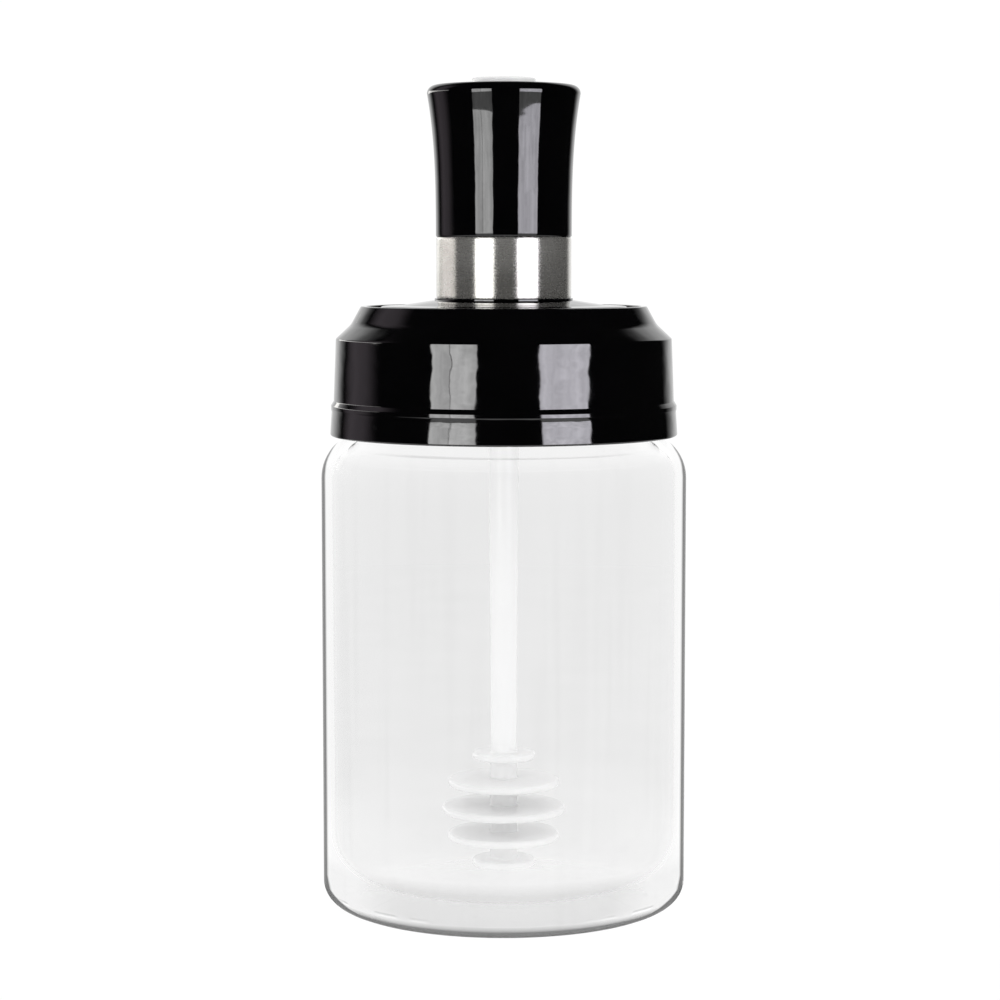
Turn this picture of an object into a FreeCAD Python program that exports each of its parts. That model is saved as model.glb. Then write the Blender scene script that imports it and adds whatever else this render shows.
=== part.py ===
import FreeCAD, Part
import math
import os

# Honey jar with a dipper lid. Millimetres, Z up.
# The jar stands on Z = 0 and every piece is turned about the Z axis.

# ---- glass jar -------------------------------------------------------
JAR_R = 37.5            # outside radius of the body
JAR_WALL = 2.3          # body wall
JAR_BODY_H = 93.4       # height where the body line meets the shoulder line
HEEL_R = 4.6            # outside rounding at the foot
SHOULDER_R = 9.2        # rounding from the body into the shoulder
SHOULDER_RISE = 3.4     # rise of the sloping shoulder up to the neck
NECK_INSET = 5.5        # how far the neck stands in from the body
NECK_WALL = 2.7
NECK_H = 16.6           # from the shoulder's top to the rim
NECK_ROOT_R = 0.9       # rounding at the neck's root
RIM_ROUND = 1.1         # rounding on both edges of the rim
FLOOR_T = 5.2           # glass under the inside floor, at the foot ring
FLOOR_CORNER_R = 9.5    # inside rounding between floor and wall
PUSH_UP = 1.5           # hollow under the base
PUSH_UP_FLAT = 16.1     # radius of its flat middle
FOOT_RING_W = 3.2       # flat ring the jar stands on

# ---- screw lid -------------------------------------------------------
NECK_GAP = 1.4          # radial room between neck and skirt
SKIRT_GAP = 0.15        # from the top of the shoulder up to the skirt
BAND_WALL = 1.95        # skirt wall at the lower band's top
BAND_FLARE = 0.32       # how much the band widens to its lower edge
BAND_H = 4.9            # plain part of the lower band
LIP_OUT = 0.12          # bead above the band
LIP_H = 1.3             # height of the bead
STEP_IN = 0.44          # step from the band to the upper wall
STEP_H = 0.9
WALL_H = 12.7           # upper wall
WALL_DRAFT = 0.50       # how much the upper wall narrows to its top
LOW_COVE = (3.1, 2.9)   # lower slope of the shoulder, inwards and upwards
HIGH_COVE = (2.05, 3.7)  # upper slope of the shoulder
RIM_W = 1.2             # raised ring round the top
TOP_GROOVE_W = 2.85
TOP_GROOVE_D = 1.3
DISC_RISE = 1.25        # rise of the centre disc up to the ferrule's seat
DISC_FLAT_W = 4.2       # nearly flat outer part of the centre disc
DISC_FLAT_RISE = 0.19
LID_TOP_T = 2.4         # thickness of the top
SEAL_W = 6.0            # inside ledge that rests on the jar's rim
BOSS_WALL = 2.95        # collar that holds the dipper's stick
BOSS_H = 7.6
SOCKET_UP = 12.5        # how far the socket runs on above the ceiling

# ---- ferrule and knob ------------------------------------------------
FERRULE_R = 13.82
FERRULE_T = 1.2
FERRULE_H = 12.4
FERRULE_EDGE = 0.22     # small chamfer on its outside edges
SEAT_OUT = 0.36         # how far the lid's seat ring stands out of it
SEAT_H = 0.4
SPIGOT_GAP = 0.05       # lid's spigot inside the ferrule
KNOB_STEP = 0.09        # how far the knob's waist stands out of the ferrule
KNOB_H = 30.7
KNOB_FLARE = 1.75       # how much the knob widens to its top
KNOB_CURVE = 2.9        # power of the flare: the higher, the later it opens
KNOB_WAIST = 0.3        # share of the side that stays straight
KNOB_FOOT_ROUND = 0.35
KNOB_EDGE_R = 1.7       # rounding round the top
BUTTON_R = 6.5          # low disc on top of the knob
BUTTON_H = 1.45
BUTTON_EDGE = 0.3

# ---- honey dipper ----------------------------------------------------
STICK_R = 3.22          # at the lid
STICK_TAPER = 0.57      # lost down to the head
SOCKET_GAP = 0.05
HEAD_CLEAR = 1.9        # from the jar's floor to the lowest disc
DISC_R = (6.6, 11.6, 12.85, 11.6, 6.6)  # lowest disc first
DISC_PITCH = 5.6
DISC_T = 1.5
CORE_STEP = 0.15        # the core between the discs is this much thicker than the stick above it
NECKING_H = 1.6         # short rise from the top disc to the stick

# ---- worked out from the sizes above ---------------------------------
NECK_R = JAR_R - NECK_INSET
NECK_IN_R = NECK_R - NECK_WALL
SHOULDER_TOP = JAR_BODY_H + SHOULDER_RISE
JAR_H = SHOULDER_TOP + NECK_H

SKIRT_IN_R = NECK_R + NECK_GAP
SKIRT_BOTTOM = SHOULDER_TOP + SKIRT_GAP
BAND_TOP_R = SKIRT_IN_R + BAND_WALL
BAND_TOP = SKIRT_BOTTOM + BAND_H
LIP_TOP = BAND_TOP + LIP_H
STEP_TOP = LIP_TOP + STEP_H
WALL_R = BAND_TOP_R - STEP_IN
WALL_TOP = STEP_TOP + WALL_H
WALL_TOP_R = WALL_R - WALL_DRAFT
COVE_MID_R = WALL_TOP_R - LOW_COVE[0]
COVE_MID = WALL_TOP + LOW_COVE[1]
RIM_R = COVE_MID_R - HIGH_COVE[0]
RIM_TOP = COVE_MID + HIGH_COVE[1]
GROOVE_OUT_R = RIM_R - RIM_W
GROOVE_IN_R = GROOVE_OUT_R - TOP_GROOVE_W
SEAT_R = FERRULE_R + SEAT_OUT
SEAT_Z = RIM_TOP + DISC_RISE + SEAT_H
CEILING = RIM_TOP - LID_TOP_T
FERRULE_TOP = SEAT_Z + FERRULE_H
SPIGOT_R = FERRULE_R - FERRULE_T - SPIGOT_GAP
SOCKET_R = STICK_R + SOCKET_GAP
BOSS_R = SOCKET_R + BOSS_WALL
CORE_R = STICK_R - STICK_TAPER + CORE_STEP
KNOB_R = FERRULE_R + KNOB_STEP
SOCKET_TOP = CEILING + SOCKET_UP
KNOB_TOP = FERRULE_TOP + KNOB_H
HEAD_Z = FLOOR_T + HEAD_CLEAR


def unit(ax, az, bx, bz):
    """Direction and distance from point a to point b."""
    dx = bx - ax
    dz = bz - az
    length = math.hypot(dx, dz)
    return dx / length, dz / length, length


def vec(r, z):
    return FreeCAD.Vector(r, 0, z)


def rounded_outline(corners):
    """Closed wire from (radius, height, rounding) corners. Rounding 0 keeps the corner sharp."""
    count = len(corners)
    cuts = []
    for i in range(count):
        r, z, rounding = corners[i]
        before = corners[i - 1]
        after = corners[(i + 1) % count]
        if rounding <= 0:
            cuts.append((vec(r, z), None, vec(r, z)))
            continue
        ux, uz, _ = unit(r, z, before[0], before[1])
        wx, wz, _ = unit(r, z, after[0], after[1])
        half = math.acos(max(-1.0, min(1.0, ux * wx + uz * wz))) / 2
        back = rounding / math.tan(half)
        bx, bz, _ = unit(0, 0, ux + wx, uz + wz)
        reach = rounding / math.sin(half) - rounding
        start = vec(r + ux * back, z + uz * back)
        mid = vec(r + bx * reach, z + bz * reach)
        end = vec(r + wx * back, z + wz * back)
        cuts.append((start, mid, end))
    edges = []
    for i in range(count):
        start, mid, end = cuts[i]
        if mid is not None:
            edges.append(Part.Arc(start, mid, end).toShape())
        following = cuts[(i + 1) % count][0]
        if (following - end).Length > 1e-6:
            edges.append(Part.makeLine(end, following))
    return Part.Wire(edges)


def turned(corners):
    """Solid of revolution about Z from a rounded outline."""
    face = Part.Face(rounded_outline(corners))
    solid = face.revolve(FreeCAD.Vector(0, 0, 0), FreeCAD.Vector(0, 0, 1), 360)
    if solid.Volume < 0:
        solid.reverse()
    return solid


def shoulder_inside(r):
    """Height of the sloping shoulder's inside face at radius r, one wall below its outside face."""
    slope_r, slope_z, _ = unit(JAR_R, JAR_BODY_H, NECK_R, SHOULDER_TOP)
    near_r = JAR_R - slope_z * JAR_WALL
    near_z = JAR_BODY_H + slope_r * JAR_WALL
    return near_z + (r - near_r) * slope_z / slope_r


def glass_jar():
    ring_in = JAR_R - HEEL_R - FOOT_RING_W
    in_r = JAR_R - JAR_WALL
    return turned([
        (0, PUSH_UP, 0),
        (PUSH_UP_FLAT, PUSH_UP, 18),
        (ring_in, 0, 2),
        (JAR_R, 0, HEEL_R),
        (JAR_R, JAR_BODY_H, SHOULDER_R),
        (NECK_R, SHOULDER_TOP, NECK_ROOT_R),
        (NECK_R, JAR_H, RIM_ROUND),
        (NECK_IN_R, JAR_H, RIM_ROUND),
        (NECK_IN_R, shoulder_inside(NECK_IN_R), NECK_ROOT_R + JAR_WALL),
        (in_r, shoulder_inside(in_r), SHOULDER_R - JAR_WALL),
        (in_r, FLOOR_T, FLOOR_CORNER_R),
        (0, FLOOR_T, 0),
    ])


def screw_lid():
    ledge_in = SKIRT_IN_R - SEAL_W
    return turned([
        # skirt, from its inside lower edge outwards and up
        (SKIRT_IN_R, SKIRT_BOTTOM, 0),
        (BAND_TOP_R + BAND_FLARE, SKIRT_BOTTOM, 0.4),
        (BAND_TOP_R, BAND_TOP, 0),
        (BAND_TOP_R + LIP_OUT, BAND_TOP + LIP_H * 0.45, 0.3),
        (BAND_TOP_R + LIP_OUT, LIP_TOP, 0.3),
        (WALL_R, STEP_TOP, 0.3),
        (WALL_TOP_R, WALL_TOP, 0.5),
        (COVE_MID_R, COVE_MID, 4.0),
        (RIM_R, RIM_TOP, 0.35),
        # ring and groove round the top
        (GROOVE_OUT_R, RIM_TOP, 0.25),
        (GROOVE_OUT_R, RIM_TOP - TOP_GROOVE_D, 0),
        (GROOVE_IN_R, RIM_TOP - TOP_GROOVE_D, 0),
        (GROOVE_IN_R, RIM_TOP, 0.5),
        # centre disc and the ferrule's seat
        (GROOVE_IN_R - DISC_FLAT_W, RIM_TOP + DISC_FLAT_RISE, 12),
        (SEAT_R, SEAT_Z - SEAT_H, 0),
        (SEAT_R, SEAT_Z, 0.12),
        (SPIGOT_R, SEAT_Z, 0),
        (SPIGOT_R, FERRULE_TOP, 0),
        (0, FERRULE_TOP, 0),
        # socket, collar and hollow underside
        (0, SOCKET_TOP, 0),
        (SOCKET_R, SOCKET_TOP, 0),
        (SOCKET_R, CEILING - BOSS_H, 0),
        (BOSS_R, CEILING - BOSS_H, 0.5),
        (BOSS_R, CEILING, 1.0),
        (ledge_in, CEILING, 1.0),
        (ledge_in, JAR_H, 0),
        (SKIRT_IN_R, JAR_H, 0),
    ])


def steel_ferrule():
    inside = FERRULE_R - FERRULE_T
    edge = FERRULE_EDGE
    return turned([
        (inside, SEAT_Z, 0),
        (FERRULE_R - edge, SEAT_Z, 0),
        (FERRULE_R, SEAT_Z + edge, 0),
        (FERRULE_R, FERRULE_TOP - edge, 0),
        (FERRULE_R - edge, FERRULE_TOP, 0),
        (inside, FERRULE_TOP, 0),
    ])


def knob():
    """Straight at the waist, then widening slowly to a rounded top edge."""
    def side(share):
        return vec(KNOB_R + KNOB_FLARE * share ** KNOB_CURVE, FERRULE_TOP + share * flare_h)

    flare_h = KNOB_H - KNOB_EDGE_R
    foot = KNOB_FOOT_ROUND
    shares = [KNOB_WAIST + (1 - KNOB_WAIST) * i / 7 for i in range(8)]
    flare = Part.BSplineCurve()
    flare.interpolate([side(s) for s in shares])
    waist = side(shares[0])
    wide = side(1.0)
    out = wide.x + 0.06
    lean = 0.7071 * KNOB_EDGE_R
    edge_mid = vec(out - KNOB_EDGE_R + lean, wide.z + lean)
    edge_end = vec(out - KNOB_EDGE_R, KNOB_TOP)
    bend = foot * (1 - 0.7071)
    foot_mid = vec(KNOB_R - bend, FERRULE_TOP + bend)
    edges = [
        Part.makeLine(vec(0, FERRULE_TOP), vec(KNOB_R - foot, FERRULE_TOP)),
        Part.Arc(vec(KNOB_R - foot, FERRULE_TOP), foot_mid, vec(KNOB_R, FERRULE_TOP + foot)).toShape(),
        Part.makeLine(vec(KNOB_R, FERRULE_TOP + foot), waist),
        flare.toShape(),
        Part.Arc(wide, edge_mid, edge_end).toShape(),
        Part.makeLine(edge_end, vec(0, KNOB_TOP)),
        Part.makeLine(vec(0, KNOB_TOP), vec(0, FERRULE_TOP)),
    ]
    face = Part.Face(Part.Wire(edges))
    return face.revolve(FreeCAD.Vector(0, 0, 0), FreeCAD.Vector(0, 0, 1), 360)


def knob_button():
    return turned([
        (0, KNOB_TOP, 0),
        (BUTTON_R, KNOB_TOP, 0),
        (BUTTON_R, KNOB_TOP + BUTTON_H, BUTTON_EDGE),
        (0, KNOB_TOP + BUTTON_H, 0),
    ])


def honey_dipper():
    """One stick with a stack of round-edged discs, widest in the middle."""
    corners = [(0, HEAD_Z, 0)]
    for i in range(len(DISC_R)):
        low = HEAD_Z + i * DISC_PITCH
        high = low + DISC_T
        edge = DISC_T * 0.49
        if i:
            corners.append((CORE_R, low, 0.4))
        corners.append((DISC_R[i], low, edge))
        corners.append((DISC_R[i], high, edge))
        corners.append((CORE_R, high, 0.4))
    head_top = HEAD_Z + (len(DISC_R) - 1) * DISC_PITCH + DISC_T
    corners.append((STICK_R - STICK_TAPER, head_top + NECKING_H, 0))
    corners.append((STICK_R, CEILING - BOSS_H - 1.0, 0))
    corners.append((STICK_R, SOCKET_TOP, 0))
    corners.append((0, SOCKET_TOP, 0))
    return turned(corners)


PIECES = {
    "glass_jar": glass_jar,
    "screw_lid": screw_lid,
    "steel_ferrule": steel_ferrule,
    "knob": knob,
    "knob_button": knob_button,
    "honey_dipper": honey_dipper,
}

os.makedirs("parts", exist_ok=True)
for node, make in PIECES.items():
    shape = make()
    if shape.ShapeType != "Solid":
        shape = shape.Solids[0]
    if not shape.isValid():
        raise ValueError(node + " is not a valid solid")
    shape.exportStep("parts/" + node + ".step")
    box = shape.BoundBox
    print(node, round(shape.Volume / 1000, 2), "cm3", round(box.XLength, 2), round(box.ZMin, 2), round(box.ZMax, 2))
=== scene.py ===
import math

import bmesh
import bpy
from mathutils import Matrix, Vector


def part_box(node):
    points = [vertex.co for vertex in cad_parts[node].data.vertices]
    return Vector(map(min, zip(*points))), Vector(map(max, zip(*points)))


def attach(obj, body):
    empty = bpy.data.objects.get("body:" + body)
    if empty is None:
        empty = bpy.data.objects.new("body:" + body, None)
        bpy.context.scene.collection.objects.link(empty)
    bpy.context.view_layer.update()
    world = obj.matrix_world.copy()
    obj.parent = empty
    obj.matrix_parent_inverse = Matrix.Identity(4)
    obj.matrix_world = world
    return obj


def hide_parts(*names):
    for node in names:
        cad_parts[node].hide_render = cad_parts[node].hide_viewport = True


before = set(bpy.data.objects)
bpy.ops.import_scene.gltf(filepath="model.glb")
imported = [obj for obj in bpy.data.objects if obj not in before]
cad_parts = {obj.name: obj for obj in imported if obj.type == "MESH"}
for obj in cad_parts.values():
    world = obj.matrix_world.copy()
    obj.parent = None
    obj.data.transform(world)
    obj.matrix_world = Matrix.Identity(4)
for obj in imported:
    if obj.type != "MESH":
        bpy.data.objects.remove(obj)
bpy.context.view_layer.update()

MM = 0.001
TURNS = 288          # steps round each turned piece
ARC_STEPS = 10       # steps in each rounded corner
CRISP = 35           # degrees: faces that meet at more than this keep a sharp edge
GLASS_IOR = 1.02     # the photo's jar bends and mirrors very little
PLASTIC_IOR = 1.5

# Glass tint against the Layer Weight's Facing, from straight on (0) to grazing (1).
GLASS_OUTSIDE = [(0.0, 0.93), (0.55, 0.945), (0.74, 0.975), (1.0, 0.985)]
GLASS_INSIDE = [(0.0, 0.93), (0.6, 0.945), (0.9, 0.965), (1.0, 0.97)]
# The last ramp is painted shade: a dark line at the grazing edges, standing in for the view that the
# thick glass turns away from the backdrop.
GLASS_EDGE_SHADE = [(0.0, 1.0), (0.773, 1.0), (0.822, 0.045), (1.0, 0.045)]

# Painted shade at the heel, against the "foot" attribute, from 13 mm up (0) to the table (1): a dark line
# under the heel, a darker band, and a dark crease with a painted highlight beside it.
HEEL_SHADE_LINE = [(0.765, 1.0), (0.80, 0.65), (0.862, 0.075), (1.0, 0.05)]
HEEL_SHADE_BAND = [(0.10, 1.0), (0.30, 0.68), (1.0, 0.62)]
HEEL_CREASE_SHADE_AND_GLINT = [(0.690, 1.0), (0.710, 0.55), (0.722, 0.55), (0.738, 1.3), (0.755, 1.3), (0.770, 1.0)]

# Glass tint against height (1 at 100 mm), darker from 24 to 85 mm and lifted above clear just under the
# lid as a painted highlight; and against the distance from the axis (1 at 40 mm), a painted reflection of
# the lid's edge with a painted highlight beside it.
UP_THE_JAR_AND_LID_GLINT = [(0.16, 1.0), (0.24, 0.968), (0.85, 0.968), (0.915, 0.99), (0.935, 1.04)]
LID_REFLECTION_RING = [(0.780, 1.0), (0.790, 0.66), (0.800, 0.66), (0.810, 1.06), (0.86, 1.03)]

# The world's brightness: for what is seen through the glass, from straight down (0) to straight up (1);
# for soft light on surfaces, from the front (0) to the back (1); and the backdrop's own.
THROUGH_LIGHT = [(0.0, 0.8), (0.25, 1.02), (0.75, 1.02), (1.0, 0.8)]
FILL_LIGHT = [(0.0, 1.21), (0.5, 1.17), (1.0, 1.0)]
BACKDROP = (1.02, 1.02, 1.02)
LEFT_GLOW = (0.35, 0.305, 0.34)

# The room, in metres and degrees.
PANEL_DISTANCE = 1.3
PANEL_LEVEL = 0.13   # height from which the panels' elevations are measured: the lid's
FLOOR_RADIUS = 0.6
FLOOR_GAP = 0.0002   # keeps the floor's disc clear of the jar's base
CAMERA_PLACE = (-0.00078, -0.55115, 0.13441)
CAMERA_TILT = 5.283  # looks this much down
CAMERA_LENS = 96.62


# ---------------------------------------------------------------- shapes

def low(node):
    """The low corner of a CAD node's box, in millimetres."""
    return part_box(node)[0] / MM


def high(node):
    """The high corner of a CAD node's box, in millimetres."""
    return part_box(node)[1] / MM


def share(value, start, end):
    """0 at start, 1 at end, and held there beyond them."""
    return min(1, max(0, (value - start) / (end - start)))


def rounded(corners):
    """Points of a (radius, height, rounding) outline, in millimetres, with arcs at the corners."""
    points = []
    for i, (r, z, rounding) in enumerate(corners):
        here = Vector((r, z))
        if rounding <= 0 or i in (0, len(corners) - 1):
            points.append(here)
            continue
        back_dir = (Vector(corners[i - 1][:2]) - here).normalized()
        on_dir = (Vector(corners[i + 1][:2]) - here).normalized()
        half = back_dir.angle(on_dir) / 2
        reach = rounding / math.tan(half)
        centre = here + (back_dir + on_dir).normalized() * (rounding / math.sin(half))
        start = here + back_dir * reach - centre
        sweep = start.angle_signed(here + on_dir * reach - centre)
        for step in range(ARC_STEPS + 1):
            turn = -sweep * step / ARC_STEPS
            c, s = math.cos(turn), math.sin(turn)
            points.append(centre + Vector((start.x * c - start.y * s, start.x * s + start.y * c)))
    return points


def divided(points, longest):
    """The same outline with long straight runs cut into shorter ones."""
    out = [points[0]]
    for a, b in zip(points, points[1:]):
        cuts = max(1, math.ceil((b - a).length / longest))
        out += [a.lerp(b, (k + 1) / cuts) for k in range(cuts)]
    return out


def placed(name, bm):
    """Makes an object of a bmesh and puts it in the scene."""
    mesh = bpy.data.meshes.new(name)
    bm.to_mesh(mesh)
    bm.free()
    piece = bpy.data.objects.new(name, mesh)
    bpy.context.scene.collection.objects.link(piece)
    return piece


def turned(name, points, shift=None):
    """A mesh of revolution about Z. shift(angle, r, z) may move a point a little, in millimetres."""
    bm = bmesh.new()
    rings = []
    for p in points:
        if p.x < 1e-4:
            rings.append([bm.verts.new((0, 0, p.y * MM))])
            continue
        ring = []
        for k in range(TURNS):
            a = 2 * math.pi * k / TURNS
            r, z = shift(a, p.x, p.y) if shift else (p.x, p.y)
            ring.append(bm.verts.new((r * math.cos(a) * MM, r * math.sin(a) * MM, z * MM)))
        rings.append(ring)
    for a, b in zip(rings, rings[1:]):
        for k in range(TURNS):
            n = (k + 1) % TURNS
            if len(a) == 1 and len(b) == 1:
                break
            if len(a) == 1:
                bm.faces.new((a[0], b[n], b[k]))
            elif len(b) == 1:
                bm.faces.new((a[k], a[n], b[0]))
            else:
                bm.faces.new((a[k], a[n], b[n], b[k]))
    bmesh.ops.recalc_face_normals(bm, faces=bm.faces)
    piece = placed(name, bm)
    piece.data.shade_smooth()
    piece.data.set_sharp_from_angle(angle=math.radians(CRISP))
    return piece


def finished(piece, node, material):
    """Puts a piece in place of its CAD node."""
    piece.data.materials.clear()
    piece.data.materials.append(material)
    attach(piece, "root")
    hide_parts(node)


# ----------------------------------------------------------------- nodes

def new_material(name):
    mat = bpy.data.materials.new(name)
    mat.use_nodes = True
    nodes = mat.node_tree.nodes
    nodes.clear()
    out = nodes.new("ShaderNodeOutputMaterial")
    return mat, mat.node_tree, out


def add(tree, kind, **settings):
    node = tree.nodes.new(kind)
    for key, value in settings.items():
        setattr(node, key, value)
    return node


def shader_node(tree, kind, numbers, sources):
    """A shader node. Numbers are set on its own sockets, sources are linked to them."""
    node = add(tree, kind)
    for key, value in numbers.items():
        node.inputs[key].default_value = value
    for key, source in sources.items():
        tree.links.new(source, node.inputs[key])
    return node.outputs[0]


def ramp(tree, source, stops):
    """A colour ramp from (position, grey or colour) stops."""
    node = add(tree, "ShaderNodeValToRGB")
    elements = node.color_ramp.elements
    while len(elements) < len(stops):
        elements.new(0.5)
    for element, (position, colour) in zip(elements, stops):
        element.position = position
        shade = colour if isinstance(colour, tuple) else (colour,) * 3
        element.color = (*shade, 1)
    tree.links.new(source, node.inputs["Fac"])
    return node.outputs["Color"]


def eased(tree, source, start, end, first, last):
    """first up to start, last from end on, and a smooth step between them."""
    node = add(tree, "ShaderNodeMapRange", interpolation_type="SMOOTHSTEP")
    node.inputs["From Min"].default_value = start
    node.inputs["From Max"].default_value = end
    node.inputs["To Min"].default_value = first
    node.inputs["To Max"].default_value = last
    tree.links.new(source, node.inputs["Value"])
    return node.outputs[0]


def stretched(tree, factors=(1, 1, 1)):
    """Object coordinates, stretched along each axis."""
    coords = add(tree, "ShaderNodeTexCoord")
    mapping = add(tree, "ShaderNodeMapping")
    mapping.inputs["Scale"].default_value = factors
    tree.links.new(coords.outputs["Object"], mapping.inputs["Vector"])
    return mapping.outputs["Vector"]


def noise(tree, vector, scale, detail=2.0, roughness=0.5):
    node = add(tree, "ShaderNodeTexNoise")
    node.inputs["Scale"].default_value = scale
    node.inputs["Detail"].default_value = detail
    node.inputs["Roughness"].default_value = roughness
    tree.links.new(vector, node.inputs["Vector"])
    return node.outputs["Fac"]


def bump(tree, height, strength, distance, normal=None):
    """A relief from height, on top of another normal if one is given. Distance in metres."""
    node = add(tree, "ShaderNodeBump")
    node.inputs["Strength"].default_value = strength
    node.inputs["Distance"].default_value = distance
    tree.links.new(height, node.inputs["Height"])
    if normal:
        tree.links.new(normal, node.inputs["Normal"])
    return node.outputs["Normal"]


def mixed(tree, blend, factor, a, b):
    node = add(tree, "ShaderNodeMix", data_type="RGBA", blend_type=blend)
    if isinstance(factor, (int, float)):
        node.inputs["Factor"].default_value = factor
    else:
        tree.links.new(factor, node.inputs["Factor"])
    tree.links.new(a, node.inputs["A"])
    tree.links.new(b, node.inputs["B"])
    return node.outputs["Result"]


def times(tree, a, b):
    """Two colours multiplied."""
    return mixed(tree, "MULTIPLY", 1.0, a, b)


def math_node(tree, operation, a, b=0):
    node = add(tree, "ShaderNodeMath", operation=operation)
    for socket, value in zip(node.inputs, (a, b)):
        if isinstance(value, (int, float)):
            socket.default_value = value
        else:
            tree.links.new(value, socket)
    return node.outputs[0]


def lifted(tree, value):
    """A value from -1 to 1, brought to 0 to 1."""
    return math_node(tree, "ADD", math_node(tree, "MULTIPLY", value, 0.5), 0.5)


def attribute(tree, name):
    return add(tree, "ShaderNodeAttribute", attribute_name=name).outputs["Fac"]


def clear(tree, colour=(1, 1, 1)):
    """A shader that lets rays through without turning them."""
    return shader_node(tree, "ShaderNodeBsdfTransparent", {"Color": (*colour, 1)}, {})


def mix_shaders(tree, factor, a, b):
    node = add(tree, "ShaderNodeMixShader")
    tree.links.new(factor, node.inputs["Fac"])
    tree.links.new(a, node.inputs[1])
    tree.links.new(b, node.inputs[2])
    return node.outputs[0]


def room_light(tree):
    """1 for the rays that carry the room's soft light to a surface."""
    path = add(tree, "ShaderNodeLightPath")
    return math_node(tree, "MAXIMUM", path.outputs["Is Shadow Ray"], path.outputs["Is Diffuse Ray"])


# ------------------------------------------------------------- materials

def black_plastic(name, ripple, shine, passes=0.0):
    """Glossy moulded plastic: almost flat, with slow ripples, fine polish marks and a little dust haze.

    shine: the reflection's strength. passes: share of the room's soft light let through, so that the
    white piece under it isn't left in the dark.
    """
    mat, tree, out = new_material(name)
    slow = noise(tree, stretched(tree, (1, 1, 1.6)), 130, 1.5)
    slower = noise(tree, stretched(tree, (1, 1, 2.2)), 45, 1.0)
    fine = noise(tree, stretched(tree, (1, 1, 0.35)), 900, 3.0)
    haze = noise(tree, stretched(tree), 60, 5.0, 0.65)
    shades = [(0.3, (0.0006, 0.0006, 0.0008)), (0.75, (0.0013, 0.0012, 0.0015))]
    polish = [(0.35, 0.035), (0.8, 0.075)]
    relief = bump(tree, slower, ripple, 0.0006)
    relief = bump(tree, slow, ripple, 0.0003, relief)
    relief = bump(tree, fine, 0.02, 0.00004, relief)
    numbers = {
        "IOR": PLASTIC_IOR,
        "Specular IOR Level": shine,
    }
    sources = {
        "Base Color": ramp(tree, haze, shades),
        "Roughness": ramp(tree, haze, polish),
        "Normal": relief,
    }
    surface = shader_node(tree, "ShaderNodeBsdfPrincipled", numbers, sources)
    if passes:
        lets_in = math_node(tree, "MULTIPLY", room_light(tree), passes)
        surface = mix_shaders(tree, lets_in, surface, clear(tree))
    tree.links.new(surface, out.inputs["Surface"])
    return mat


def satin_steel():
    """Stainless sheet, brushed round the collar."""
    mat, tree, out = new_material("satin_steel")
    lines = noise(tree, stretched(tree, (14, 14, 520)), 8, 4.0, 0.7)
    grain = noise(tree, stretched(tree), 1500, 3.0, 0.7)
    cloud = noise(tree, stretched(tree, (1, 1, 1.5)), 70, 3.0)
    shades = [(0.3, (0.56, 0.545, 0.51)), (0.72, (0.74, 0.73, 0.70))]
    polish = [(0.3, 0.24), (0.7, 0.29)]
    half_lines = math_node(tree, "MULTIPLY", lines, 0.5)
    half_grain = math_node(tree, "MULTIPLY", grain, 0.5)
    both = math_node(tree, "ADD", half_lines, half_grain)
    relief = bump(tree, grain, 0.05, 0.00005)
    relief = bump(tree, lines, 0.08, 0.00005, relief)
    numbers = {
        "Metallic": 0.86,
        "Anisotropic": 0.84,
        "Anisotropic Rotation": 0.25,
    }
    sources = {
        "Base Color": ramp(tree, cloud, shades),
        "Roughness": ramp(tree, both, polish),
        "Normal": relief,
        "Tangent": add(tree, "ShaderNodeTangent", direction_type="RADIAL", axis="Z").outputs[0],
    }
    surface = shader_node(tree, "ShaderNodeBsdfPrincipled", numbers, sources)
    tree.links.new(surface, out.inputs["Surface"])
    return mat


def white_plastic(name, darkest, palest):
    """Natural white plastic that lets a little light through."""
    mat, tree, out = new_material(name)
    cloud = noise(tree, stretched(tree, (1, 1, 0.6)), 120, 3.0)
    fine = noise(tree, stretched(tree), 700, 2.0)
    shades = [(0.25, darkest), (0.8, palest)]
    polish = [(0.3, 0.10), (0.75, 0.17)]
    numbers = {
        "Specular IOR Level": 0.2,
        "Subsurface Weight": 0.9,
        "Subsurface Radius": (1.0, 1.0, 1.0),
        "Subsurface Scale": 0.0045,
    }
    sources = {
        "Base Color": ramp(tree, cloud, shades),
        "Roughness": ramp(tree, cloud, polish),
        "Normal": bump(tree, fine, 0.05, 0.00005),
    }
    surface = shader_node(tree, "ShaderNodeBsdfPrincipled", numbers, sources)
    tree.links.new(surface, out.inputs["Surface"])
    return mat


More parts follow.
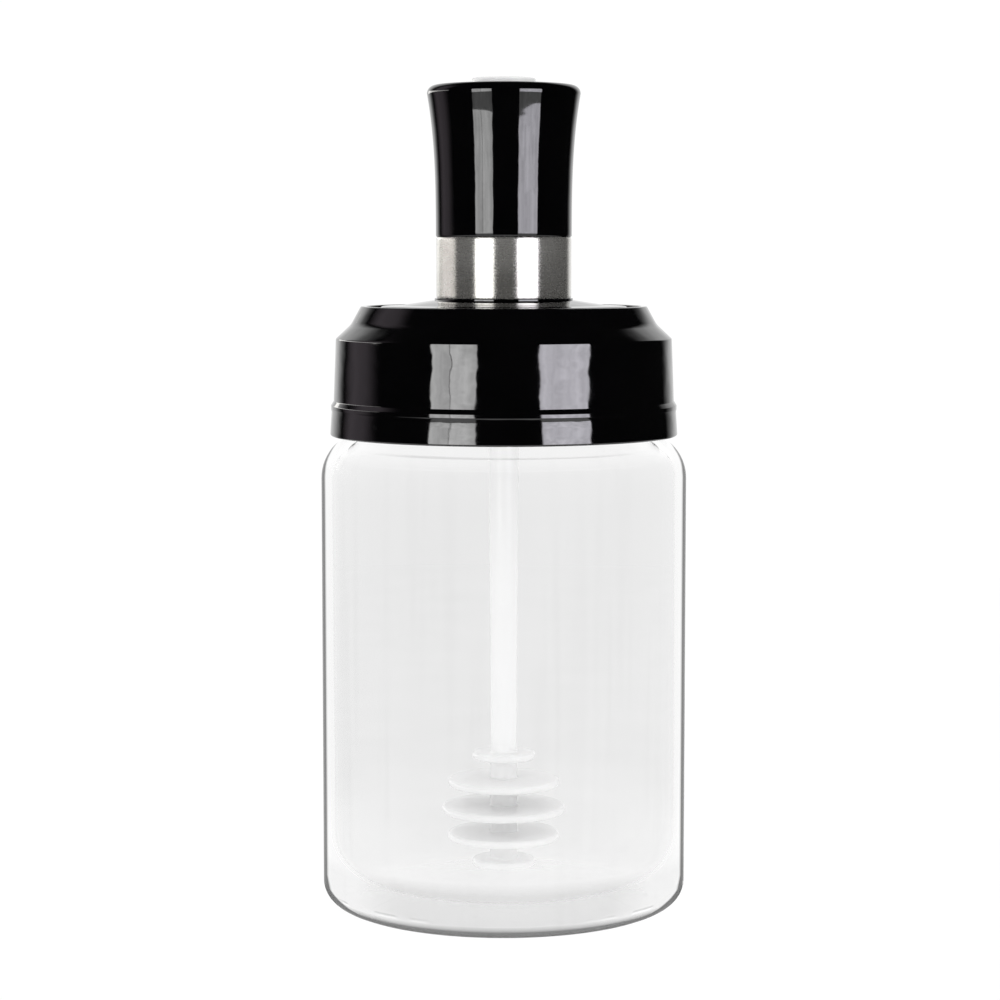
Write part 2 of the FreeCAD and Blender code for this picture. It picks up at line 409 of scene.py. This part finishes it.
def painted_edge_shade(tree, tint, facing):
    """The outer face's painted shade: a dark line at the jar's edges and under its heel, and dark creases
    with painted highlights at the heel's corners.

    A real jar's thick glass turns the view away from the backdrop there, and this tint paints that shade
    in. It is laid on only on the way in, so the far wall doesn't repeat it.
    """
    foot = attribute(tree, "foot")
    # Painted shade: a dark line where the face turns away, and a dark line under the heel.
    turning = math_node(tree, "ADD", facing, attribute(tree, "edge"))
    line = mixed(tree, "DARKEN", 1.0, ramp(tree, turning, GLASS_EDGE_SHADE), ramp(tree, foot, HEEL_SHADE_LINE))
    # Painted shade: a darker band at the heel where the face is seen straight on.
    toward_front = ramp(tree, facing, [(0.22, 1.0), (0.45, 0.38)])
    line = mixed(tree, "MULTIPLY", toward_front, line, ramp(tree, foot, HEEL_SHADE_BAND))
    # Painted dark creases, each with a painted highlight beside it, broken up at the heel's corners.
    broken = ramp(tree, noise(tree, stretched(tree), 130, 1.0), [(0.47, 0.0), (0.55, 0.8)])
    at_corners = ramp(tree, facing, [(0.15, 0.0), (0.3, 1.0), (0.6, 1.0), (0.72, 0.0)])
    here = math_node(tree, "MULTIPLY", broken, at_corners)
    line = mixed(tree, "MULTIPLY", here, line, ramp(tree, foot, HEEL_CREASE_SHADE_AND_GLINT))
    way_out = add(tree, "ShaderNodeNewGeometry").outputs["Backfacing"]
    return mixed(tree, "MIX", way_out, times(tree, tint, line), tint)


def painted_lid_reflection(tree, tint, place, up):
    """A painted reflection in the inner face just under the lid, at the jar's front and back: a faint
    dark ring for the lid's lower edge mirrored in the shoulder, with a painted highlight beside it.
    """
    across = add(tree, "ShaderNodeCombineXYZ")
    tree.links.new(place.outputs["X"], across.inputs["X"])
    tree.links.new(place.outputs["Y"], across.inputs["Y"])
    flat = add(tree, "ShaderNodeVectorMath", operation="LENGTH")
    tree.links.new(across.outputs[0], flat.inputs[0])
    from_axis = math_node(tree, "MULTIPLY", flat.outputs["Value"], 25)      # 1 at 40 mm
    # Painted reflection: a dark ring with a painted highlight beside it, shown only under the lid at the
    # front and back.
    ring = ramp(tree, from_axis, LID_REFLECTION_RING)
    under_lid = math_node(tree, "GREATER_THAN", up, 0.92)
    depth = math_node(tree, "MULTIPLY", math_node(tree, "ABSOLUTE", place.outputs["Y"]), 20)
    not_at_sides = ramp(tree, depth, [(0.36, 0.0), (0.54, 1.0)])
    shown = math_node(tree, "MULTIPLY", under_lid, not_at_sides)
    return mixed(tree, "MIX", shown, tint, times(tree, tint, ring))


def clear_glass(name, facing_stops, outer):
    """Clear jar glass with a faint grey cast. Lamps shine through it."""
    mat, tree, out = new_material(name)
    weight = add(tree, "ShaderNodeLayerWeight")
    weight.inputs["Blend"].default_value = 0.5
    facing = weight.outputs["Facing"]
    tint = ramp(tree, facing, facing_stops)
    if outer:
        tint = painted_edge_shade(tree, tint, facing)
    place = add(tree, "ShaderNodeSeparateXYZ")
    tree.links.new(add(tree, "ShaderNodeTexCoord").outputs["Object"], place.inputs[0])
    up = math_node(tree, "MULTIPLY", place.outputs["Z"], 10)                # 1 at 100 mm
    streaks = noise(tree, stretched(tree, (1, 1, 0.04)), 210, 2.0)
    clouds = noise(tree, stretched(tree, (1, 1, 0.5)), 28, 2.0)
    # Height tint, with a painted highlight just under the lid; the streaks and clouds are the glass's own
    # uneven tone.
    for source, stops in (
        (up, UP_THE_JAR_AND_LID_GLINT),
        (streaks, [(0.30, 0.975), (0.42, 1.0)]),
        (clouds, [(0.35, 0.985), (0.65, 1.0)]),
    ):
        tint = times(tree, tint, ramp(tree, source, stops))
    if not outer:
        tint = painted_lid_reflection(tree, tint, place, up)
    slow = noise(tree, stretched(tree, (1, 1, 0.35)), 45, 2.0)
    numbers = {
        "Transmission Weight": 1.0,
        "IOR": GLASS_IOR,
        "Roughness": 0.0,
    }
    sources = {
        "Base Color": tint,
        "Normal": bump(tree, slow, 0.25, 0.0006),
    }
    glass = shader_node(tree, "ShaderNodeBsdfPrincipled", numbers, sources)
    surface = mix_shaders(tree, room_light(tree), glass, clear(tree, (0.985, 0.985, 0.985)))
    tree.links.new(surface, out.inputs["Surface"])
    return mat


# ------------------------------------------------------------ the pieces

def glass_jar(outside, inside):
    """The jar, outside line first and then the inside line back down to the floor."""
    radius = high("glass_jar").x
    rim = high("glass_jar").z
    wall = 2.3
    neck_wall = 2.7
    floor = 5.2
    push_up, push_up_radius = 1.5, 16.1
    foot_ring = radius - 7.8
    neck = radius - 5.5
    body = rim - 20.0             # the straight wall ends here
    shoulder = rim - 16.6         # the neck starts here
    rise = (shoulder - body) / (radius - neck)
    inner = radius - wall
    inner_body = body - wall * (math.hypot(1, rise) - rise)
    inner_neck = neck - neck_wall
    inner_shoulder = inner_body + (inner - inner_neck) * rise
    corners = [
        (0, push_up, 0),
        (push_up_radius, push_up, 18),
        (foot_ring, 0, 2),
        (radius, 0, 4.6),
        (radius, body, 9.2),
        (neck, shoulder, 0.9),
        (neck, rim, 1.1),
        (inner_neck, rim, 1.1),
        (inner_neck, inner_shoulder, 3.2),
        (inner, inner_body, 6.9),
        (inner, floor, 9.5),
        (0, floor, 0),
    ]
    even_below, uneven_above = 5.3, 17.3

    def shift(angle, r, z):
        """The inside of the wall isn't quite round."""
        if r > inner + 0.2 or z > shoulder or z < even_below:
            return r, z
        sway = 0.10 * math.sin(2 * angle + 0.5)
        sway += 0.05 * math.sin(5 * angle + z * 0.05)
        sway += 0.03 * math.sin(9 * angle + 1.3)
        return r + sway * share(z, even_below, uneven_above), z

    piece = turned("jar_glass", divided(rounded(corners), 2.5), shift)
    finished(piece, "glass_jar", outside)
    mark_edges(piece.data, radius, body)
    piece.data.materials.append(inside)
    for face in piece.data.polygons:
        r = math.hypot(face.center.x, face.center.y) / MM
        z = face.center.z / MM
        in_body = floor - 0.1 < z < body - 1 and r < inner + 0.3
        in_neck = z >= body - 1 and r < neck - 0.5
        in_shoulder = body - 1 < z < inner_body + 4 and r < neck
        if in_body or in_neck or in_shoulder:
            face.material_index = 1


def mark_edges(mesh, radius, body):
    """Two numbers at each vertex that the outer glass material reads.

    foot: from 0 at 13 mm up to 1 at the table, where the painted heel shade lies. edge: brings the
    painted dark edge line in sooner at the heel and later at the shoulder, and keeps it off the neck.
    """
    wide, lower_jar = radius - 6, 20
    foot = mesh.attributes.new("foot", "FLOAT", "POINT")
    edge = mesh.attributes.new("edge", "FLOAT", "POINT")
    for vertex in mesh.vertices:
        r = math.hypot(vertex.co.x, vertex.co.y) / MM
        z = vertex.co.z / MM
        if r > wide:
            foot.data[vertex.index].value = share(z, 13, 0)
        lean = 0.12 * share(z, 5.5, 3.5) - 0.12 * share(z, body - 3.4, body + 2.6)
        if z > lower_jar:
            lean -= 0.1 * share(r, radius - 2.5, radius - 4)
            if r < radius - 4:
                lean = -1
        edge.data[vertex.index].value = lean


def screw_lid(material):
    """The lid in one outline: over the top, down the outside and back up inside."""
    base, top = low("screw_lid").z, high("screw_lid").z
    seat = low("steel_ferrule").z
    ferrule = high("steel_ferrule").x
    spigot = ferrule - 1.25
    seat_radius = ferrule + 0.36
    crown = seat - 1.65           # top of the raised ring
    disc = 21.01
    groove, groove_in, groove_out = crown - 1.3, 25.21, 28.06
    ring = 29.26
    slope, slope_foot = 31.31, 34.41
    wall_foot = 34.91
    bead = 35.47
    band_top, band_foot = 35.35, 35.67
    skirt = 33.4                  # inside radius, clear of the jar's shoulder and neck
    jar_rim = high("glass_jar").z
    ceiling, mouth = crown - 2.4, 27.4
    collar, collar_foot = 6.22, ceiling - 7.6
    socket, socket_end = 3.27, ceiling + 12.5
    corners = [
        (0, top, 0),
        (spigot, top, 0),
        (spigot, seat, 0),
        (seat_radius, seat, 0.12),
        (seat_radius, seat - 0.4, 0),
        (disc, crown + 0.19, 12),
        (groove_in, crown, 0.5),
        (groove_in, groove, 0.15),
        (groove_out, groove, 0.15),
        (groove_out, crown, 0.25),
        (ring, crown, 0.35),
        (slope, crown - 3.7, 4.0),
        (slope_foot, crown - 6.6, 0.5),
        (wall_foot, crown - 19.3, 0.3),
        (bead, crown - 20.2, 0.3),
        (bead, crown - 20.92, 0.3),
        (band_top, base + 4.9, 0),
        (band_foot, base, 0.4),
        (skirt, base, 0.25),
        (skirt, jar_rim, 0),
        (mouth, jar_rim, 0),
        (mouth, ceiling, 1),
        (collar, ceiling, 1),
        (collar, collar_foot, 0.5),
        (socket, collar_foot, 0.2),
        (socket, socket_end, 0),
        (0, socket_end, 0),
    ]
    piece = turned("lid_black", divided(rounded(corners), 2.0))
    finished(piece, "screw_lid", material)


def steel_ferrule(material):
    """A plain collar with small rolled edges, its outline closed on the hidden inside."""
    base, top = low("steel_ferrule").z, high("steel_ferrule").z
    outer = high("steel_ferrule").x
    inner = outer - 1.2
    seam = base + 3
    corners = [
        (inner, seam, 0),
        (inner, base, 0.05),
        (outer - 0.05, base, 0.22),
        (outer, base + 0.5, 0.2),
        (outer, top - 0.4, 0.2),
        (outer - 0.1, top, 0.18),
        (inner, top, 0.05),
        (inner, seam, 0),
    ]
    piece = turned("ferrule_steel", divided(rounded(corners), 1.0))
    finished(piece, "steel_ferrule", material)


def knob(material):
    """A stepped foot, a side that flares more and more, and a quarter-round top edge."""
    base, top = low("knob").z, high("knob").z
    waist = high("steel_ferrule").x + 0.09
    widest = high("knob").x
    flare, flare_power = 1.75, 2.9
    edge = 1.7
    first = 0.012                 # the flare starts this share of the way up, over the foot's step
    side_steps, edge_steps = 48, 16
    points = [Vector((0, base)), Vector((waist - 0.35, base)), Vector((waist - 0.1, base + 0.1))]
    for step in range(side_steps + 1):
        way = first + (1 - first) * step / side_steps
        points.append(Vector((waist + flare * way ** flare_power, base + way * (top - base - edge))))
    for step in range(1, edge_steps + 1):
        a = math.pi / 2 * step / edge_steps
        points.append(Vector((widest - edge + edge * math.cos(a), top - edge + edge * math.sin(a))))
    points += [Vector((widest - edge - 6, top - 0.02)), Vector((0, top))]
    piece = turned("knob_black", divided(points, 1.5))
    finished(piece, "knob", material)


def knob_button(material):
    base, top = low("knob_button").z, high("knob_button").z
    radius = high("knob_button").x
    corners = [(0, base, 0), (radius, base, 0), (radius, top, 0.3), (0, top, 0)]
    piece = turned("knob_button_white", divided(rounded(corners), 1.0))
    finished(piece, "knob_button", material)


def honey_dipper(material):
    """Five discs on a core, and a stick that grows a little thicker towards the lid."""
    foot, top = low("honey_dipper").z, high("honey_dipper").z
    stick, full_stick = 3.22, 112.35      # radius, and the height from which it is full
    slim_stick = stick - 0.57
    core = slim_stick + 0.15
    discs = (6.6, 11.6, 12.85, 11.6, 6.6)
    thick, pitch = 1.5, 5.6
    lip = thick * 0.49                    # almost a half circle
    corners = [(0, foot, 0)]
    for i, r in enumerate(discs):
        z = foot + i * pitch
        if i:
            corners.append((core, z, 0.4))
        corners += [(r, z, lip), (r, z + thick, lip), (core, z + thick, 0.4)]
    head = foot + (len(discs) - 1) * pitch + thick
    corners += [(slim_stick, head + 1.6, 0.5), (stick, full_stick, 0), (stick, top, 0), (0, top, 0)]
    piece = turned("dipper_white", divided(rounded(corners), 2.0))
    finished(piece, "honey_dipper", material)


# ------------------------------------------------- stage, light, camera

def direction_mask(tree, azimuth, centre, half, soft):
    """1 inside centre +- half degrees of azimuth, falling to 0 over soft degrees."""
    away = math_node(tree, "ABSOLUTE", math_node(tree, "SUBTRACT", azimuth, math.radians(centre)))
    return eased(tree, away, math.radians(half), math.radians(half + soft), 1, 0)


def background(tree, colour):
    """A world shader of one colour, or of a linked one."""
    if isinstance(colour, tuple):
        return shader_node(tree, "ShaderNodeBackground", {"Color": (*colour, 1)}, {})
    return shader_node(tree, "ShaderNodeBackground", {}, {"Color": colour})


def studio_world():
    """Pale all round for what the eye and the glass see; a studio with a lit back wall in reflections."""
    world = bpy.data.worlds.new("studio")
    bpy.context.scene.world = world
    world.use_nodes = True
    tree = world.node_tree
    tree.nodes.clear()
    out = add(tree, "ShaderNodeOutputWorld")
    split = add(tree, "ShaderNodeSeparateXYZ")
    tree.links.new(add(tree, "ShaderNodeTexCoord").outputs["Generated"], split.inputs[0])
    x, y, z = split.outputs

    azimuth = math_node(tree, "ARCTAN2", x, y)          # 0 is straight behind the object
    back_wall = direction_mask(tree, azimuth, 0, 25, 20)
    left_wall = direction_mask(tree, azimuth, -66, 5, 18)
    left_glow = ramp(tree, left_wall, [(0.0, 0.0), (1.0, LEFT_GLOW)])
    walls = mixed(tree, "ADD", 1.0, back_wall, left_glow)
    above_table = eased(tree, z, -0.3, -0.2, 0.0, 1.0)
    under_roof = eased(tree, z, 0.55, 0.8, 1.0, 0.0)
    walls = times(tree, walls, math_node(tree, "MULTIPLY", above_table, under_roof))
    table = eased(tree, z, -0.42, -0.32, 1.3, 0.008)
    mirrored = background(tree, mixed(tree, "ADD", 1.0, walls, table))

    through = background(tree, ramp(tree, lifted(tree, z), THROUGH_LIGHT))
    fill = background(tree, ramp(tree, lifted(tree, y), FILL_LIGHT))
    backdrop = background(tree, BACKDROP)

    path = add(tree, "ShaderNodeLightPath")
    light = mix_shaders(tree, path.outputs["Is Transmission Ray"], mirrored, through)
    light = mix_shaders(tree, path.outputs["Is Diffuse Ray"], light, fill)
    light = mix_shaders(tree, path.outputs["Is Camera Ray"], light, backdrop)
    tree.links.new(light, out.inputs["Surface"])


def panel_glow(name, radiance, colour, gap):
    """Cloth lit from behind, seen only in reflections. gap: where a thin dark seam crosses it."""
    mat, tree, out = new_material(name)
    stops = [(0.0, 0.25), (0.03, 0.9), (0.5, 1.0), (0.97, 0.9), (1.0, 0.25)]
    if gap:
        stops[2:3] = [(gap - 0.015, 0.9), (gap - 0.004, 0.3), (gap + 0.006, 0.3), (gap + 0.018, 1.1)]
    profile = ramp(tree, attribute(tree, "across"), stops)
    cloud = noise(tree, stretched(tree, (0.6, 1, 1)), 14, 2.0)
    cloth = ramp(tree, cloud, [(0.3, 0.8), (0.7, 1.15)])
    strength = math_node(tree, "MULTIPLY", times(tree, profile, cloth), radiance)
    glow = shader_node(tree, "ShaderNodeEmission", {"Color": (*colour, 1)}, {"Strength": strength})
    bounced = add(tree, "ShaderNodeLightPath").outputs["Glossy Depth"]
    mirrored = math_node(tree, "GREATER_THAN", bounced, 0.5)
    surface = mix_shaders(tree, mirrored, clear(tree), glow)
    tree.links.new(surface, out.inputs["Surface"])
    return mat


def soft_panel(name, azimuths, elevations, radiance, colour=(1, 1, 1), gap=None):
    """A tall soft light. Azimuths in degrees from the camera's side, elevations from the lid's level."""
    start, end = (math.radians(a) for a in azimuths)
    middle = (start + end) / 2
    half = PANEL_DISTANCE * math.tan(abs(end - start) / 2)
    z0, z1 = (PANEL_DISTANCE * math.tan(math.radians(e)) for e in elevations)
    bm = bmesh.new()
    corners = ((-half, z0), (half, z0), (half, z1), (-half, z1))
    bm.faces.new([bm.verts.new((x, 0, z)) for x, z in corners])
    piece = placed(name, bm)
    across = piece.data.attributes.new("across", "FLOAT", "POINT")
    for vertex, value in zip(across.data, (0, 1, 1, 0)):
        vertex.value = value
    x, y = PANEL_DISTANCE * math.sin(middle), -PANEL_DISTANCE * math.cos(middle)
    piece.location = (x, y, PANEL_LEVEL)
    piece.rotation_euler = (0, 0, middle)
    piece.visible_camera = False
    piece.visible_diffuse = False
    piece.data.materials.append(panel_glow(name, radiance, colour, gap))


def pale_floor():
    """A light table, pale enough to meet the backdrop without a horizon."""
    bm = bmesh.new()
    bmesh.ops.create_circle(bm, cap_ends=True, segments=128, radius=FLOOR_RADIUS)
    floor = placed("floor", bm)
    floor.location.z = -FLOOR_GAP
    floor.visible_glossy = False
    mat, tree, out = new_material("light_table")
    grain = noise(tree, stretched(tree), 40, 3.0)
    numbers = {
        "Roughness": 1.0,
        "Specular IOR Level": 0.0,
        "Emission Strength": 1.0,
    }
    sources = {
        "Base Color": ramp(tree, grain, [(0.2, 0.05), (0.8, 0.07)]),
        "Emission Color": ramp(tree, grain, [(0.2, 0.945), (0.8, 0.955)]),
    }
    surface = shader_node(tree, "ShaderNodeBsdfPrincipled", numbers, sources)
    tree.links.new(surface, out.inputs["Surface"])
    floor.data.materials.append(mat)


def photo_camera():
    """Eye level with the lid, looking slightly down."""
    data = bpy.data.cameras.new("camera")
    data.sensor_width = 36
    data.lens = CAMERA_LENS
    data.clip_start = 0.01
    camera = bpy.data.objects.new("camera", data)
    bpy.context.scene.collection.objects.link(camera)
    camera.location = CAMERA_PLACE
    camera.rotation_euler = (math.radians(90 - CAMERA_TILT), 0, 0)
    bpy.context.scene.camera = camera


jar_outside = clear_glass("clear_glass", GLASS_OUTSIDE, outer=True)
jar_inside = clear_glass("clear_glass_inside", GLASS_INSIDE, outer=False)
glass_jar(jar_outside, jar_inside)
screw_lid(black_plastic("lid_plastic", ripple=0.36, shine=0.66, passes=0.8))
steel_ferrule(satin_steel())
knob(black_plastic("knob_plastic", ripple=0.18, shine=0.51))
knob_button(white_plastic("pale_plastic", 0.74, 0.82))
honey_dipper(white_plastic("white_plastic", 0.89, 0.94))

LEFT, RIGHT, SIDE = (-48.7, -18), (23.5, 58.5), (-156, -90)
UPPER, LOWER = (-9.5, 16), (-26, -9.6)

studio_world()
soft_panel("panel_left", LEFT, UPPER, 7.0, gap=0.44)
soft_panel("panel_right", RIGHT, UPPER, 8.3, colour=(0.98, 0.96, 1.04))
soft_panel("panel_left_low", LEFT, LOWER, 1.3)
soft_panel("panel_right_low", RIGHT, LOWER, 1.3)
soft_panel("panel_side", SIDE, (2.5, 12), 3.5, colour=(1.0, 0.985, 0.96))
pale_floor()
photo_camera()
bpy.context.scene.view_settings.view_transform = "Standard"
